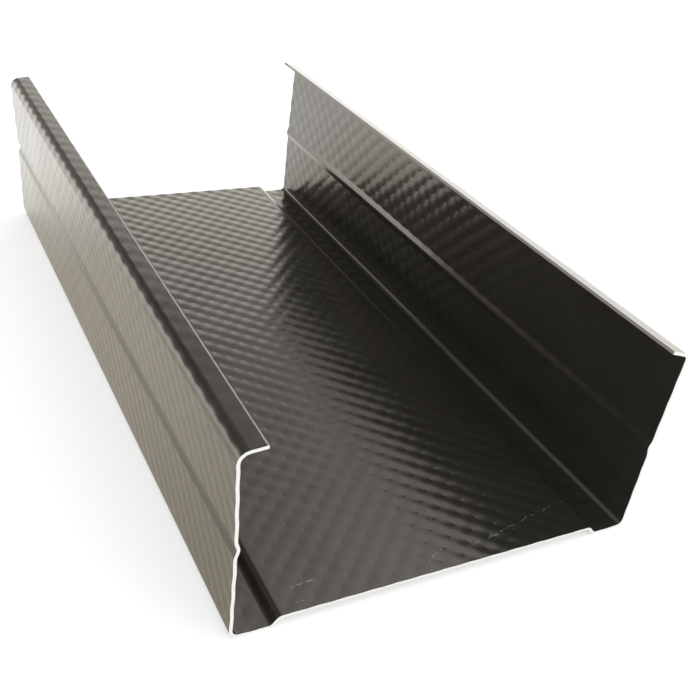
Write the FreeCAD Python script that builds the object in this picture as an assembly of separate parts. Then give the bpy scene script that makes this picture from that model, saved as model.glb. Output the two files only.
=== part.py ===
import FreeCAD, Part
import math
import os

# A short sample of a drywall C-stud, roll-formed from one strip of thin steel sheet.
# Millimetres. The section lies in the XZ plane and runs along Y. The web is down and rests
# on the feet of its two margins at Z = 0, the flanges stand up, and the origin is under the middle.

LENGTH = 143.0
SHEET = 0.5

# Web: its middle is pressed up into the channel, between two sloping steps. Outside its foot,
# each margin leans up a little to the corner.
WEB_WIDTH = 70.0
MARGIN_WIDTH = 6.5
LEAN_WIDTH = 3.2
CORNER_LIFT = 0.2
STEP_RUN = 1.2
STEP_RISE = 1.4

# Flanges: one is higher than the other, so that two studs nest into a box. Each stands square
# on the web up to its groove and leans outward above it, by the splay at its lip.
LOW_FLANGE = 32.6
HIGH_FLANGE = 33.9
FLANGE_SPLAY = 0.5

# Screw guide: a shallow V groove pressed inward along the middle of each flange.
GROOVE_HEIGHT = 16.7
GROOVE_HALF_WIDTH = 1.2
GROOVE_DEPTH = 0.38

# Stiffening lips: both stop short of square, so each rises to its free edge.
LOW_LIP = 4.2
LOW_LIP_RISE = 0.3
HIGH_LIP = 3.5
HIGH_LIP_RISE = 1.1

# Radius of each bend, on the outside of the bend. The inside is one sheet less.
WEB_CORNER_RADIUS = 1.5
LEAN_RADIUS = 6.0
STEP_RADIUS = 1.2
GROOVE_RADIUS = 1.3
LOW_LIP_RADIUS = 2.0
HIGH_LIP_RADIUS = 1.3


def flange_groove(face_x):
    """Three bends of the screw guide on the flange face at face_x, from the top down."""
    bottom_x = face_x - math.copysign(GROOVE_DEPTH, face_x)
    return [
        (face_x, GROOVE_HEIGHT + GROOVE_HALF_WIDTH, GROOVE_RADIUS),
        (bottom_x, GROOVE_HEIGHT, GROOVE_RADIUS),
        (face_x, GROOVE_HEIGHT - GROOVE_HALF_WIDTH, GROOVE_RADIUS),
    ]


def web_edge(side):
    """Four bends of one edge of the web: its corner, its foot, and the step up to the middle."""
    corner_x = side * WEB_WIDTH / 2
    foot_x = corner_x - side * LEAN_WIDTH
    step_x = corner_x - side * MARGIN_WIDTH
    middle_x = step_x - side * STEP_RUN
    return [
        (corner_x, CORNER_LIFT, WEB_CORNER_RADIUS),
        (foot_x, 0.0, LEAN_RADIUS),
        (step_x, 0.0, STEP_RADIUS),
        (middle_x, STEP_RISE, STEP_RADIUS),
    ]


def section_bends():
    """Bends of the strip's outer face as (x, z, radius), from the low lip round to the high one."""
    half_web = WEB_WIDTH / 2
    half_top = half_web + FLANGE_SPLAY
    low_edge = (LOW_LIP - half_top, LOW_FLANGE + LOW_LIP_RISE, 0.0)
    high_edge = (half_top - HIGH_LIP, HIGH_FLANGE + HIGH_LIP_RISE, 0.0)
    low_lip = [low_edge, (-half_top, LOW_FLANGE, LOW_LIP_RADIUS)]
    high_lip = [(half_top, HIGH_FLANGE, HIGH_LIP_RADIUS), high_edge]
    low_half = low_lip + flange_groove(-half_web) + web_edge(-1)
    high_half = web_edge(1)[::-1] + flange_groove(half_web)[::-1] + high_lip
    return low_half + high_half


def strip_face(bends, depth):
    """Corners and bend radii of the face that lies `depth` into the strip from its outer face.

    Each straight run moves by depth along its normal, which points into the channel. Where
    the strip turns towards the channel, its outer face is the outside of the bend. Where it
    turns away, the outer face is the inside of the bend.
    """
    corners = [FreeCAD.Vector(x, 0, z) for x, z, _ in bends]
    runs = [(after - before).normalize() for before, after in zip(corners, corners[1:])]
    normals = [FreeCAD.Vector(-run.z, 0, run.x) for run in runs]
    face = [(corners[0] + normals[0] * depth, 0.0)]
    for index in range(1, len(corners) - 1):
        before, after = normals[index - 1], normals[index]
        shift = (before + after) * (depth / (1 + before.dot(after)))
        towards_channel = runs[index].dot(before) > 0
        inset = depth if towards_channel else SHEET - depth
        face.append((corners[index] + shift, bends[index][2] - inset))
    face.append((corners[-1] + normals[-1] * depth, 0.0))
    return face


def rounded_path(face):
    """Edges along the corners of a face: straight runs joined by tangent arcs."""
    edges = []
    start = face[0][0]
    for (before, _), (corner, radius), (after, _) in zip(face, face[1:], face[2:]):
        run_in = (corner - before).normalize()
        run_out = (after - corner).normalize()
        inward = (run_out - run_in).normalize()
        half_turn = run_in.getAngle(run_out) / 2
        tangent = radius * math.tan(half_turn)
        arc_start = corner - run_in * tangent
        arc_middle = corner + inward * (radius / math.cos(half_turn) - radius)
        arc_end = corner + run_out * tangent
        edges.append(Part.LineSegment(start, arc_start).toShape())
        edges.append(Part.Arc(arc_start, arc_middle, arc_end).toShape())
        start = arc_end
    edges.append(Part.LineSegment(start, face[-1][0]).toShape())
    return edges


def c_section():
    """The closed section: outer face, cut edge of the high lip, inner face, cut edge of the low lip."""
    outer = strip_face(section_bends(), 0.0)
    inner = strip_face(section_bends(), SHEET)[::-1]
    high_edge = Part.LineSegment(outer[-1][0], inner[0][0]).toShape()
    low_edge = Part.LineSegment(inner[-1][0], outer[0][0]).toShape()
    return Part.Face(Part.Wire(rounded_path(outer) + [high_edge] + rounded_path(inner) + [low_edge]))


def stud():
    """The section carried along the sample's length, between two square cuts."""
    section = c_section()
    section.translate(FreeCAD.Vector(0, -LENGTH / 2, 0))
    return section.extrude(FreeCAD.Vector(0, LENGTH, 0))


os.makedirs("parts", exist_ok=True)
stud().exportStep("parts/stud.step")
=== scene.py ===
"""A short sample of drywall C-stud: thin galvanised sheet, embossed all over, with bare cut edges."""

import math

import bpy
import numpy as np
from mathutils import Matrix, Vector


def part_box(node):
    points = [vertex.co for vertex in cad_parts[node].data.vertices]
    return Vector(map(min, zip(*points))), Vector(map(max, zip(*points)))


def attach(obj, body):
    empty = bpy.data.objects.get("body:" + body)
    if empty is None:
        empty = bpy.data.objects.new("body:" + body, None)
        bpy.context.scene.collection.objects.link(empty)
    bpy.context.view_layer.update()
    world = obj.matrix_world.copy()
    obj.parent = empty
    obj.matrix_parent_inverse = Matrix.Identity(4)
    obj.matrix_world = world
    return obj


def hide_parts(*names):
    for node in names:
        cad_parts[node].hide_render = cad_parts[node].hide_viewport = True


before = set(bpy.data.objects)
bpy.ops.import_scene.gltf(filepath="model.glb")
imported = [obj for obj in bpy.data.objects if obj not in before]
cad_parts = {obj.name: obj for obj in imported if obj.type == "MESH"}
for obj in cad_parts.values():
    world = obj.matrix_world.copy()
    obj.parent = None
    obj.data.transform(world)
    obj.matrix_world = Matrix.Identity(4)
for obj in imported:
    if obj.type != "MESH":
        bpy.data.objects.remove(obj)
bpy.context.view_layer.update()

MM = 0.001

# ---------------------------------------------------------------- the stud's section

# Driving sizes of the roll-formed strip. Its web is pressed up between two sloping steps, each flange
# has a shallow V groove as a screw guide, and both lips rise a little to their free edges.
# A radius is the one on the outside of its bend.
STUD_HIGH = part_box("stud")[1]
HALF_LENGTH = STUD_HIGH[1]
HALF_WEB = 35.0 * MM
SHEET = 0.5 * MM
MARGIN_WIDTH = 6.5 * MM
LEAN_WIDTH = 3.2 * MM
CORNER_LIFT = 0.2 * MM
STEP_RUN = 1.2 * MM
STEP_RISE = 1.4 * MM
LOW_FLANGE = 32.6 * MM
HIGH_FLANGE = 33.9 * MM
FLANGE_SPLAY = 0.5 * MM
GROOVE_HEIGHT = 16.7 * MM
GROOVE_HALF_WIDTH = 1.2 * MM
GROOVE_DEPTH = 0.38 * MM
LOW_LIP = 4.2 * MM
LOW_LIP_RISE = 0.3 * MM
HIGH_LIP = 3.5 * MM
HIGH_LIP_RISE = STUD_HIGH[2] - HIGH_FLANGE
WEB_CORNER_RADIUS = 1.5 * MM
LEAN_RADIUS = 6.0 * MM
STEP_RADIUS = 1.2 * MM
GROOVE_RADIUS = 1.3 * MM
LOW_LIP_RADIUS = 2.0 * MM
HIGH_LIP_RADIUS = 1.3 * MM

# Embossing: raised pips and dents alternate like the squares of a chessboard. EMBOSS_HEIGHT is that
# of a pip over the flat sheet, and of a dent under it. One pip lies START_ACROSS to the right of the
# middle of the web and START_ALONG from the front end.
PERIOD_ACROSS = 4.253 * MM
PERIOD_ALONG = 4.353 * MM
EMBOSS_HEIGHT = 0.045 * MM
START_ACROSS = 1.96 * MM
START_ALONG = 1.75 * MM

# Where the outer face bends sharper than SHARP_RADIUS, the embossing is pressed flat, up to
# FLAT_BESIDE_BEND on each side. From there it comes back over EMBOSS_FADE.
SHARP_RADIUS = 1.6 * MM
FLAT_BESIDE_BEND = 0.6 * MM
EMBOSS_FADE = 1.3 * MM

# Up to LIP_START from a lip's edge only this share of it is left. From there it comes back over
# LIP_FADE.
LIP_EMBOSSING = 0.35
LIP_START = 2.0 * MM
LIP_FADE = 2.0 * MM

# The knife that slit the coil leaves narrow burrs along the edges of the lips, painted brighter than the
# sheet as a painted highlight where the edges catch light.
BURR_HIGHLIGHT_WIDTH = 0.2 * MM

# The mesh: its step along straight runs and along Y, and the most that it turns at once in a bend.
GRID_STEP = 0.72 * MM
ARC_STEP = math.radians(24)

# The finishes of the mesh, in the order in which the piece gets them.
SHEET_FACES, CUT_ENDS, BURRS_AND_HIGHLIGHTS = range(3)


def flange_groove(face_x):
    """Bends of the screw guide, a V groove in the flange face at face_x, from the top down."""
    bottom_x = face_x - math.copysign(GROOVE_DEPTH, face_x)
    return [
        (face_x, GROOVE_HEIGHT + GROOVE_HALF_WIDTH, GROOVE_RADIUS),
        (bottom_x, GROOVE_HEIGHT, GROOVE_RADIUS),
        (face_x, GROOVE_HEIGHT - GROOVE_HALF_WIDTH, GROOVE_RADIUS),
    ]


def web_edge(side):
    """Bends of one edge of the web: its corner, its foot, and the step up to the middle."""
    corner_x = side * HALF_WEB
    step_x = corner_x - side * MARGIN_WIDTH
    return [
        (corner_x, CORNER_LIFT, WEB_CORNER_RADIUS),
        (corner_x - side * LEAN_WIDTH, 0, LEAN_RADIUS),
        (step_x, 0, STEP_RADIUS),
        (step_x - side * STEP_RUN, STEP_RISE, STEP_RADIUS),
    ]


def section_bends():
    """Bends of the outer face as (x, z, radius outside the bend), from the low lip to the high one."""
    half_top = HALF_WEB + FLANGE_SPLAY
    low_edge = (LOW_LIP - half_top, LOW_FLANGE + LOW_LIP_RISE, 0)
    high_edge = (half_top - HIGH_LIP, HIGH_FLANGE + HIGH_LIP_RISE, 0)
    low_lip = [low_edge, (-half_top, LOW_FLANGE, LOW_LIP_RADIUS)]
    high_lip = [(half_top, HIGH_FLANGE, HIGH_LIP_RADIUS), high_edge]
    low_half = low_lip + flange_groove(-HALF_WEB) + web_edge(-1)
    high_half = web_edge(1)[::-1] + flange_groove(HALF_WEB)[::-1] + high_lip
    return low_half + high_half


def smooth_step(value, start, width):
    """0 up to start, 1 from start + width on, and t t (3 - 2 t) between them."""
    t = np.clip((value - start) / width, 0, 1)
    return t * t * (3 - 2 * t)


class StripPath:
    """The strip's outer face along the section, as arrays.

    point: (x, z) of the outer face. onward: unit vector (x, z) along it.
    inward: unit normal (x, z) into the channel, a quarter turn left of onward.
    curve: 1 / radius of the outer face, positive where it turns towards the channel.
    run: distance along the middle of the sheet, 0 at the middle of the web.
    relief: how much of the embossing is left, from 0 in a bend to 1 away from it.
    """

    def __init__(self, bends):
        corners = np.array([bend[:2] for bend in bends], float)
        legs = np.diff(corners, axis=0)
        directions = legs / np.linalg.norm(legs, axis=1, keepdims=True)
        headings = np.unwrap(np.arctan2(legs[:, 1], legs[:, 0]))
        turns = np.append(np.diff(headings), 0.0)
        points, angles, curves = [], [], []
        start = corners[0]
        for i, (heading, turn) in enumerate(zip(headings, turns)):
            face_radius = bends[i + 1][2] - (SHEET if turn < 0 else 0)
            end = corners[i + 1] - directions[i] * face_radius * math.tan(abs(turn) / 2)
            share = self.shares(np.linalg.norm(end - start), i == 0, i == len(legs) - 1)[:, None]
            points.append(start + (end - start) * share)
            angles.append(np.full(len(share), heading))
            curves.append(np.zeros(len(share)))
            if turn:
                side = math.copysign(1, turn)
                centre = end + side * face_radius * self.normal(heading)
                arc = np.linspace(heading, heading + turn, math.ceil(abs(turn) / ARC_STEP) + 1)
                start = centre - side * face_radius * self.normal(arc[-1])
                points.append(centre - side * face_radius * self.normal(arc[1:-1]))
                angles.append(arc[1:-1])
                curves.append(np.full(len(arc) - 2, side / face_radius))
        angle = np.concatenate(angles)
        self.point = np.concatenate(points)
        self.inward = self.normal(angle)
        self.onward = np.stack([np.cos(angle), np.sin(angle)], axis=-1)
        self.curve = np.concatenate(curves)
        middle = self.point + self.inward * SHEET / 2
        run = np.append(0, np.cumsum(np.linalg.norm(np.diff(middle, axis=0), axis=1)))
        # Only the web and the feet of the flanges lie this low, and x is 0 once on the way.
        web = self.point[:, 1] < 2 * STEP_RISE
        self.run = run - np.interp(0, self.point[web, 0], run[web])
        self.relief = self.embossing_left()

    @staticmethod
    def normal(heading):
        """Unit vector a quarter turn left of a heading: into the channel."""
        return np.stack([-np.sin(heading), np.cos(heading)], axis=-1)

    @staticmethod
    def shares(length, first, last):
        """Even steps along a straight run, with one more beside a lip's edge for the strip of burrs and
        painted highlight.
        """
        share = np.linspace(0, 1, max(2, round(length / GRID_STEP) + 1))
        if first:
            share = np.insert(share, 1, BURR_HIGHLIGHT_WIDTH / length)
        if last:
            share = np.insert(share, -1, 1 - BURR_HIGHLIGHT_WIDTH / length)
        return share

    def embossing_left(self):
        """A smooth step from 0 beside a sharp bend to 1 away from it, and weaker towards a lip's edge."""
        sharp = self.run[np.abs(self.curve) > 1 / SHARP_RADIUS]
        distance = np.abs(self.run[:, None] - sharp[None, :]).min(axis=1)
        from_edge = np.minimum(self.run - self.run[0], self.run[-1] - self.run)
        kept = LIP_EMBOSSING + (1 - LIP_EMBOSSING) * smooth_step(from_edge, LIP_START, LIP_FADE)
        return smooth_step(distance, FLAT_BESIDE_BEND, EMBOSS_FADE) * kept


def embossing(path, y):
    """Height of the embossing and its two slopes, at each place of the section and each y.

    height = h (1 + relief cos(across) cos(along)): 0 in a dent, 2 h on a pip and h where it is
    pressed flat, measured into the channel. Each angle turns once a period, and both are 0 on the
    pip that starts the pattern. The slopes are the height's derivatives along run and along y.
    """
    turn_across = 2 * math.pi / PERIOD_ACROSS
    turn_along = 2 * math.pi / PERIOD_ALONG
    relief = path.relief[:, None]
    fade = np.gradient(path.relief, path.run)[:, None]
    across = turn_across * (path.run[:, None] - START_ACROSS)
    along = turn_along * (y[None, :] + HALF_LENGTH - START_ALONG)
    height = EMBOSS_HEIGHT * (1 + relief * np.cos(across) * np.cos(along))
    wave_slope = fade * np.cos(across) - relief * turn_across * np.sin(across)
    slope_run = EMBOSS_HEIGHT * wave_slope * np.cos(along)
    slope_y = -EMBOSS_HEIGHT * relief * turn_along * np.cos(across) * np.sin(along)
    return height, slope_run, slope_y


def skin(path, y, depth):
    """Points and outward normals of the face that lies `depth` into the strip.

    point = outer face + inward * (depth + height). Its normal is inward, tilted back by the
    slope of the embossing each way; the slope along the section grows where a bend shortens it.
    On the outer face the normal is turned round, so that it points out of the metal there too.
    """
    height, slope_run, slope_y = embossing(path, y)
    lift = depth + height
    section = path.point[:, None, :] + path.inward[:, None, :] * lift[:, :, None]
    points = np.stack([section[..., 0], np.broadcast_to(y, lift.shape), section[..., 1]], axis=-1)
    shorter = (1 - path.curve * SHEET / 2)[:, None] / (1 - path.curve[:, None] * lift)
    tilt = slope_run * shorter
    normal_section = path.inward[:, None, :] - path.onward[:, None, :] * tilt[:, :, None]
    normals = np.stack([normal_section[..., 0], -slope_y, normal_section[..., 1]], axis=-1)
    normals /= np.linalg.norm(normals, axis=-1, keepdims=True)
    return points, normals if depth > 0 else -normals


def stud_mesh():
    """The whole strip as one closed mesh: outer skin, inner skin, slit edges and cut ends.

    The section is a ring of columns, outer face then inner face backwards, carried along Y. The
    UV map counts periods of the embossing, and an attribute tells how much of it is left.
    """
    path = StripPath(section_bends())
    y = np.linspace(-HALF_LENGTH, HALF_LENGTH, round(2 * HALF_LENGTH / GRID_STEP) + 1)
    outer, outer_normal = skin(path, y, 0.0)
    inner, inner_normal = skin(path, y, SHEET)
    columns, rows = len(path.run), len(y)
    ring = np.concatenate([outer, inner[::-1]])
    ring_normal = np.concatenate([outer_normal, inner_normal[::-1]])
    index = np.arange(2 * columns * rows).reshape(2 * columns, rows)
    here, there = index, np.roll(index, -1, axis=0)
    sides = np.stack([here[:, :-1], here[:, 1:], there[:, 1:], there[:, :-1]], axis=-1).reshape(-1, 4)
    # Column k of the outer face lies opposite column k of facing.
    facing = index[::-1]
    near = np.stack([index[:columns - 1, 0], index[1:columns, 0],
                     facing[1:columns, 0], facing[:columns - 1, 0]], axis=-1)
    far = np.stack([index[:columns - 1, -1], facing[:columns - 1, -1],
                    facing[1:columns, -1], index[1:columns, -1]], axis=-1)
    faces = np.concatenate([sides, near, far])
    corner_normals = ring_normal.reshape(-1, 3)[faces]

    column_of_side = np.repeat(np.arange(2 * columns), rows - 1)
    slit = np.isin(column_of_side, [columns - 1, 2 * columns - 1])
    # The strips beside each lip's edge, on both faces, are burrs painted brighter as a painted highlight.
    burr_and_highlight = np.isin(column_of_side, [0, columns - 2, columns, 2 * columns - 2])
    end_faces = len(near) + len(far)
    flat_faces = np.concatenate([slit, np.full(end_faces, True)])
    finishes = np.concatenate([np.where(burr_and_highlight, BURRS_AND_HIGHLIGHTS, SHEET_FACES), np.full(end_faces, CUT_ENDS)])
    flat = ring.reshape(-1, 3)[faces[flat_faces]]
    face_normal = np.cross(flat[:, 2] - flat[:, 0], flat[:, 3] - flat[:, 1])
    face_normal /= np.linalg.norm(face_normal, axis=-1, keepdims=True)
    corner_normals[flat_faces] = face_normal[:, None, :]

    mesh = bpy.data.meshes.new("stud_sheet")
    mesh.from_pydata(ring.reshape(-1, 3).tolist(), [], faces.tolist())
    mesh.polygons.foreach_set("material_index", finishes.astype(np.int32))
    mesh.polygons.foreach_set("use_smooth", np.ones(len(faces), bool))
    run = np.concatenate([path.run, path.run[::-1]])
    place = np.stack([np.repeat(run[:, None], rows, 1), np.broadcast_to(y, (2 * columns, rows))], -1)
    uv = mesh.uv_layers.new(name="strip")
    uv.data.foreach_set("uv", (place.reshape(-1, 2)[faces] / (PERIOD_ACROSS, PERIOD_ALONG)).ravel())
    relief = np.concatenate([path.relief, path.relief[::-1]])
    left = mesh.attributes.new("embossing", "FLOAT", "POINT")
    left.data.foreach_set("value", np.repeat(relief, rows).astype(np.float32))
    mesh.normals_split_custom_set(corner_normals.reshape(-1, 3).tolist())
    mesh.update()
    return mesh


# ---------------------------------------------------------------- materials

# Zinc-coated sheet. Scales are in noise cells a metre, and the grain is drawn out along the strip.
SHEET_DARK = (0.118, 0.109, 0.095, 1)
SHEET_LIGHT = (0.152, 0.143, 0.127, 1)
SHEET_TINT = (1.0, 0.98, 0.93, 1)
SHEET_METALLIC = 0.88
SHEET_ROUGHNESS = 0.22
GRAIN_SCALE = 700.0
GRAIN_SQUEEZE = (1, 0.12, 1)
GRAIN_TONE = 0.5
PATCH_SCALE = 90.0
PATCH_TONE = 0.7
PATCH_ROUGHNESS = 0.1

# Pits that the teeth of the embossing roll leave. The higher the sharpness, the narrower they are.
MARK_SHARPNESS = 12.0
MARK_DEPTH = 0.03 * MM

# Scratches near the front end of the web, as x, y, slope and half length, in mm. A noise makes them
# waver, they thin out past SCRATCH_TAPER of their half length, and a speckle breaks them up, where
# it is lower than SCRATCH_BREAKS. They show SCRATCH_BARE of the bare metal.
SCRATCHES = [
    (18.0, -66.2, 0.20, 13.0),
    (-22.0, -67.3, 0.0, 2.2),
    (-23.9, -69.7, -0.3, 0.9),
    (-0.4, -68.1, 0.48, 2.2),
]
SCRATCH_WIDTH = 0.2 * MM
SCRATCH_TAPER = 0.6
SCRATCH_WOBBLE = 2.4 * MM
SCRATCH_WOBBLE_SCALE = 300.0
SCRATCH_BREAKS = (0.45, 0.6)
SCRATCH_BARE = 0.55
SCRATCH_ROUGHNESS = 0.2
SPECKLE_SCALE = 1100.0
BARE_METAL = (0.50, 0.49, 0.46, 1)

# Bare cut ends. Their roughness grows by SAW_ROUGHNESS with the marks of the saw.
CUT_DARK = (0.70, 0.70, 0.69, 1)
CUT_LIGHT = (0.90, 0.90, 0.89, 1)
CUT_METALLIC = 0.3
CUT_ROUGHNESS = 0.35
SAW_SCALE = 2500.0
SAW_ROUGHNESS = 0.2

# Burrs, painted brighter than the sheet: a painted highlight where the edges catch light. Their roughness
# grows by RUB_ROUGHNESS with the rubbing.
BURR_HIGHLIGHT_DARK = (0.30, 0.29, 0.27, 1)
BURR_HIGHLIGHT_BRIGHT = (0.55, 0.54, 0.51, 1)
BURR_METALLIC = 0.5
BURR_ROUGHNESS = 0.35
RUB_SCALE = 600.0
RUB_ROUGHNESS = 0.15


class Nodes:
    """The node tree of a material or of the world. One method adds any node."""

    def __init__(self, owner):
        owner.use_nodes = True
        self.owner = owner
        self.tree = owner.node_tree

    def node(self, kind, settings, *inputs, output=0, **named):
        """Adds a node and gives its output: settings, then its inputs in order or by name."""
        node = self.tree.nodes.new(kind)
        for name, value in settings.items():
            setattr(node, name, value)
        self.fill(node, inputs, named)
        return Socket(self, node.outputs[output])

    def fill(self, node, inputs, named):
        """Sets or links input sockets. A space in a socket's name is written as _."""
        sockets = list(zip(node.inputs, inputs))
        sockets += [(node.inputs[name.replace("_", " ")], value) for name, value in named.items()]
        for socket, value in sockets:
            if isinstance(value, Socket):
                self.tree.links.new(value.socket, socket)
            else:
                socket.default_value = value

    def shader(self, name, **named):
        """Sets sockets of a shader that the tree starts with."""
        self.fill(self.tree.nodes[name], (), named)

    def mix(self, factor, low, high):
        """A colour between low and high."""
        return self.node("ShaderNodeMix", {"data_type": "RGBA"}, output=2, Factor=factor, A=low, B=high)

    def smooth(self, value, start, end, low=0.0, high=1.0):
        """A smooth step from low to high while value goes from start to end."""
        settings = {"interpolation_type": "SMOOTHSTEP"}
        return self.node("ShaderNodeMapRange", settings, value, start, end, low, high)

    def place(self):
        """Where a point is on the object, in metres."""
        return self.node("ShaderNodeTexCoord", {}, output="Object")

    def axes(self, vector):
        """The three numbers of a vector."""
        return [self.node("ShaderNodeSeparateXYZ", {}, vector, output=i) for i in range(3)]

    def noise(self, place, scale, detail=2.0):
        """Cloudy noise, around 0.5."""
        return self.node("ShaderNodeTexNoise", {}, Vector=place, Scale=scale, Detail=detail)


class Socket:
    """A shader socket that Python operators work on: each adds one Math node."""

    def __init__(self, nodes, socket):
        self.nodes = nodes
        self.socket = socket

    def apply(self, operation, *values):
        """A Math node on sockets or numbers."""
        return self.nodes.node("ShaderNodeMath", {"operation": operation}, *values)

    def __add__(self, other):
        return self.apply("ADD", self, other)

    def __radd__(self, other):
        return self.apply("ADD", other, self)

    def __sub__(self, other):
        return self.apply("SUBTRACT", self, other)

    def __rsub__(self, other):
        return self.apply("SUBTRACT", other, self)

    def __mul__(self, other):
        return self.apply("MULTIPLY", self, other)

    def __rmul__(self, other):
        return self.apply("MULTIPLY", other, self)

    def __pow__(self, power):
        return self.apply("POWER", self, power)

    def __rpow__(self, base):
        return self.apply("POWER", base, self)

    def __abs__(self):
        return self.apply("ABSOLUTE", self)

    def cosine(self):
        return self.apply("COSINE", self)

    def at_least(self, other):
        return self.apply("MAXIMUM", self, other)

    def at_most(self, other):
        return self.apply("MINIMUM", self, other)


def tooth_marks(sheet):
    """Small pits in the middle of the dents, from 0 down to -1.

    In a dent, -cos(across) cos(along) rises to 1, and its power MARK_SHARPNESS leaves only its peak.
    """
    across, along, _ = sheet.axes(sheet.node("ShaderNodeUVMap", {"uv_map": "strip"}))
    left = sheet.node("ShaderNodeAttribute", {"attribute_name": "embossing"}, output="Fac")
    turn = 2 * math.pi
    dent = ((across - START_ACROSS / PERIOD_ACROSS) * turn).cosine()
    dent = dent * ((along + (HALF_LENGTH - START_ALONG) / PERIOD_ALONG) * turn).cosine() * -1.0
    return dent.at_least(0.0) ** MARK_SHARPNESS * left * -1.0


def scratches(sheet, place):
    """Fine scratches on the upper face of the web, 1 on their lines and 0 beside them.

    Each is a straight line through (x, y). A place counts by how far it is from the line in Y, with the
    wobble added, and from (x, y) in X. Its height keeps the scratches off the web's underside.
    """
    across, along, up = sheet.axes(place)
    wobble = (sheet.noise(place, SCRATCH_WOBBLE_SCALE) - 0.5) * SCRATCH_WOBBLE
    lines = 0.0
    for x, y, slope, half_length in SCRATCHES:
        from_middle = across - x * MM
        from_line = abs(along - y * MM - slope * from_middle + wobble)
        line = sheet.smooth(from_line, 0.0, SCRATCH_WIDTH, 1.0, 0.0)
        reach = half_length * MM
        lines = lines + line * sheet.smooth(abs(from_middle), SCRATCH_TAPER * reach, reach, 1.0, 0.0)
    from_web = abs(up - STEP_RISE - SHEET - EMBOSS_HEIGHT)
    on_web = sheet.smooth(from_web, 2 * EMBOSS_HEIGHT, 3 * EMBOSS_HEIGHT, 1.0, 0.0)
    return lines.at_most(1.0) * on_web


def sheet_finish():
    """Zinc-coated sheet: fine grain drawn out along the strip, dull patches, pits and scratches."""
    sheet = Nodes(bpy.data.materials.new("embossed_sheet"))
    place = sheet.place()
    grain_place = sheet.node("ShaderNodeMapping", {}, Vector=place, Scale=GRAIN_SQUEEZE)
    grain = sheet.noise(grain_place, GRAIN_SCALE, detail=1.0)
    patches = sheet.noise(place, PATCH_SCALE, detail=3.0)
    speckle = sheet.noise(place, SPECKLE_SCALE, detail=1.0)
    wear = scratches(sheet, place) * sheet.smooth(speckle, *SCRATCH_BREAKS)
    tone = (grain - 0.5) * GRAIN_TONE + (patches - 0.5) * PATCH_TONE + 0.5
    colour = sheet.mix(tone, SHEET_DARK, SHEET_LIGHT)
    roughness = SHEET_ROUGHNESS + (patches - 0.5) * PATCH_ROUGHNESS + wear * SCRATCH_ROUGHNESS
    pits = sheet.node("ShaderNodeBump", {}, Strength=1.0, Distance=MARK_DEPTH, Height=tooth_marks(sheet))
    sheet.shader("Principled BSDF",
                 Base_Color=sheet.mix(wear * SCRATCH_BARE, colour, BARE_METAL),
                 Metallic=SHEET_METALLIC,
                 Roughness=roughness,
                 Specular_Tint=SHEET_TINT,
                 Normal=pits)
    return sheet.owner


def cut_finish():
    """Bare bright steel where the sample was sawn off, with the saw's fine marks."""
    cut = Nodes(bpy.data.materials.new("bare_cut_end"))
    marks = cut.noise(cut.place(), SAW_SCALE)
    cut.shader("Principled BSDF",
               Base_Color=cut.mix(marks, CUT_DARK, CUT_LIGHT),
               Metallic=CUT_METALLIC,
               Roughness=CUT_ROUGHNESS + marks * SAW_ROUGHNESS)
    return cut.owner


def burr_and_highlight_finish():
    """Zinc worn thin by rubbing along the slit edges, painted brighter than the sheet as a painted
    highlight of the edges.
    """
    burr_and_highlight = Nodes(bpy.data.materials.new("slit_edge_burr_and_highlight"))
    rub_and_sheen = burr_and_highlight.noise(burr_and_highlight.place(), RUB_SCALE, detail=3.0)
    burr_and_highlight.shader("Principled BSDF",
                Base_Color=burr_and_highlight.mix(rub_and_sheen, BURR_HIGHLIGHT_DARK, BURR_HIGHLIGHT_BRIGHT),
                Metallic=BURR_METALLIC,
                Roughness=BURR_ROUGHNESS + rub_and_sheen * RUB_ROUGHNESS)
    return burr_and_highlight.owner


# ---------------------------------------------------------------- the piece

stud = bpy.data.objects.new("stud_sheet", stud_mesh())
bpy.context.collection.objects.link(stud)
for finish in (sheet_finish, cut_finish, burr_and_highlight_finish):
    stud.data.materials.append(finish())
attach(stud, "root")
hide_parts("stud")


# ---------------------------------------------------------------- floor, light and camera

# The floor is pale, and glows enough to look white. The metal mirrors it with another glow, painted light
# that only the metal sees:
# a painted shadow beside the stud's front end, weak and warm, and a painted pool of light past its far
# end, strong. Its ramps are
# in metres: two run along Y, the right one along Y + RIGHT_SLANT * X, and CROSS_RAMP leads from left to
# right along X.
FLOOR_REACH = 3.0
FLOOR_COLOUR = (0.80, 0.80, 0.80, 1)
SEEN_GLOW = (0.48, 0.48, 0.48, 1)
NO_GLOW = (0, 0, 0, 1)
NEAR_GLOW = (0.25, 0.21, 0.15, 1)
BESIDE_GLOW = (0.39, 0.35, 0.28, 1)
FAR_GLOW = (0.90, 0.91, 0.94, 1)
RIGHT_GLOW = (0.86, 0.90, 0.97, 1)
BESIDE_RAMP = (-0.075, 0.0)
FAR_RAMP = (0.034, 0.119)
RIGHT_RAMP = (0.082, 0.125)
RIGHT_SLANT = 0.9
CROSS_RAMP = (-0.035, -0.015)

# Room light by direction, where 1 is white: x is to the right, y ahead and z up. High up it is
# HIGH_LIGHT. Down from LIGHT_TOP to LIGHT_MIDDLE it rises by LIGHT_RISE, and lower down it goes on
# rising by LOW_RISE for each unit of z. The right and the front add to it, and the left and the far
# side take a little from it.
HIGH_LIGHT = 0.52
LIGHT_RISE = 1.40
LIGHT_TOP = 0.54
LIGHT_MIDDLE = 0.36
LOW_RISE = 2.0
SIDE_LIGHT = 1.25
SIDE_START = 0.41
SIDE_LEAST = -0.1
SIDE_MOST = 0.4
LIGHT_LEAST = 0.05
LIGHT_MOST = 2.2

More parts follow.
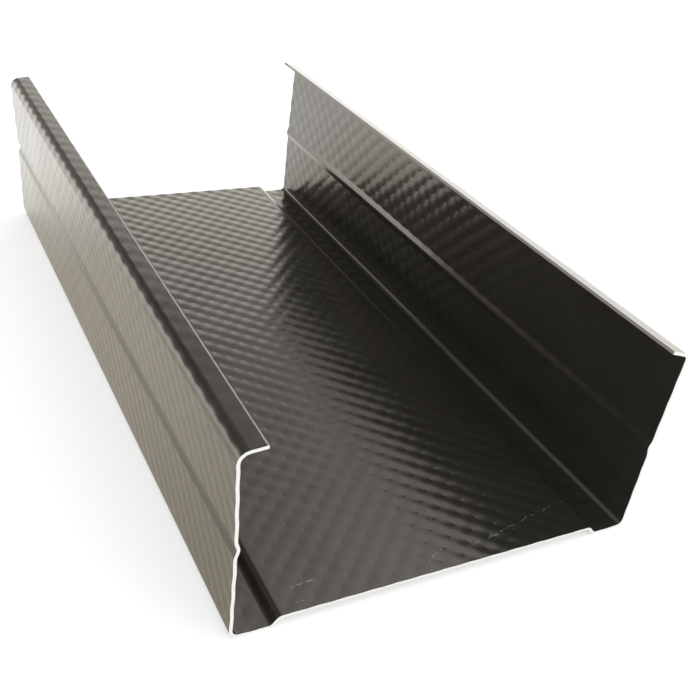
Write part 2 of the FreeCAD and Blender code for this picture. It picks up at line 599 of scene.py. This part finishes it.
# A dark panel stands ahead on the left. Each pair is a soft edge: PANEL_EDGE is its right one in x,
# PANEL_END its near one in y, and PANEL_FOOT and PANEL_TOP its lower and upper ones in z. The upper
# one climbs to the right by PANEL_SLANT. The panel takes PANEL_DEPTH of the light.
PANEL_EDGE = (-0.02, 0.26)
PANEL_END = (0.20, 0.45)
PANEL_FOOT = (0.08, 0.28)
PANEL_TOP = (0.66, 0.76)
PANEL_SLANT = 0.2
PANEL_DEPTH = 0.80

# The camera stands in front of the stud, to the left. Sizes are in mm and angles in degrees. The
# shift is in widths of the view.
EYE = (-68.74, -149.88, 100.00)
HEADING = 30.06
PITCH = -34.81
ROLL = 7.53
LENS = 47.75
SENSOR_WIDTH = 36.0
SHIFT = (0.0233, 0.0787)
CLIP_START = 10.0


def floor():
    """A plain pale floor that keeps the stud's shadow, with one glow for the eye and one for the metal,
    painted light and shade by place.
    """
    corners = [(-FLOOR_REACH, -FLOOR_REACH, 0), (FLOOR_REACH, -FLOOR_REACH, 0),
               (FLOOR_REACH, FLOOR_REACH, 0), (-FLOOR_REACH, FLOOR_REACH, 0)]
    mesh = bpy.data.meshes.new("floor")
    mesh.from_pydata(corners, [], [(0, 1, 2, 3)])
    plane = bpy.data.objects.new("floor", mesh)
    bpy.context.collection.objects.link(plane)
    paper = Nodes(bpy.data.materials.new("plain_floor"))
    across, along, _ = paper.axes(paper.place())
    seen = paper.node("ShaderNodeLightPath", {}, output="Is Camera Ray")
    mirrored = paper.node("ShaderNodeLightPath", {}, output="Is Glossy Ray")
    # Painted light for the metal alone: a painted shadow beside the front end, a painted pool of light
    # past the far end.
    beside = paper.mix(paper.smooth(along, *BESIDE_RAMP), NEAR_GLOW, BESIDE_GLOW)
    left = paper.mix(paper.smooth(along, *FAR_RAMP), beside, FAR_GLOW)
    right = paper.mix(paper.smooth(along + RIGHT_SLANT * across, *RIGHT_RAMP), beside, RIGHT_GLOW)
    glow = paper.mix(paper.smooth(across, *CROSS_RAMP), left, right)
    glow = paper.mix(mirrored, NO_GLOW, glow)
    paper.shader("Principled BSDF",
                 Base_Color=FLOOR_COLOUR,
                 Roughness=1.0,
                 Specular_IOR_Level=0.0,
                 Emission_Color=paper.mix(seen, glow, SEEN_GLOW),
                 Emission_Strength=1.0)
    mesh.materials.append(paper.owner)


def room():
    """Soft light all round, brighter low down and from the right, with a dark panel. White to the eye.

    light = (high light + rise + side light + low rise) * (1 - depth), with depth only on the panel.
    """
    studio = Nodes(bpy.data.worlds.new("room"))
    bpy.context.scene.world = studio.owner
    right, ahead, up = studio.axes(studio.node("ShaderNodeTexCoord", {}, output="Generated"))
    side = (right - ahead + SIDE_START).at_least(SIDE_LEAST).at_most(SIDE_MOST)
    light = HIGH_LIGHT + studio.smooth(up, LIGHT_MIDDLE, LIGHT_TOP, LIGHT_RISE, 0.0)
    light = light + SIDE_LIGHT * side + LOW_RISE * (LIGHT_MIDDLE - up).at_least(0.0)
    panel = studio.smooth(right, *PANEL_EDGE, 1.0, 0.0) * studio.smooth(ahead, *PANEL_END)
    panel = panel * studio.smooth(up, *PANEL_FOOT)
    panel = panel * studio.smooth(up - PANEL_SLANT * right, *PANEL_TOP, 1.0, 0.0)
    light = light.at_least(LIGHT_LEAST).at_most(LIGHT_MOST) * (1.0 - PANEL_DEPTH * panel)
    seen = studio.node("ShaderNodeLightPath", {}, output="Is Camera Ray")
    studio.shader("Background", Color=(1, 1, 1, 1), Strength=light + seen * (1.0 - light))


def camera():
    """Looks down along the stud: turned right by HEADING, tipped by PITCH, and rolled about its view."""
    view = bpy.data.cameras.new("camera")
    view.lens = LENS
    view.sensor_width = SENSOR_WIDTH
    view.shift_x, view.shift_y = SHIFT
    view.clip_start = CLIP_START * MM
    heading, pitch, roll = (math.radians(angle) for angle in (HEADING, PITCH, ROLL))
    turn = Matrix.Rotation(-heading, 4, "Z") @ Matrix.Rotation(math.pi / 2 + pitch, 4, "X")
    turn = turn @ Matrix.Rotation(roll, 4, "Z")
    stand = bpy.data.objects.new("camera", view)
    stand.matrix_world = Matrix.Translation(Vector(EYE) * MM) @ turn
    bpy.context.collection.objects.link(stand)
    bpy.context.scene.camera = stand


floor()
room()
camera()
bpy.context.scene.view_settings.view_transform = "Standard"
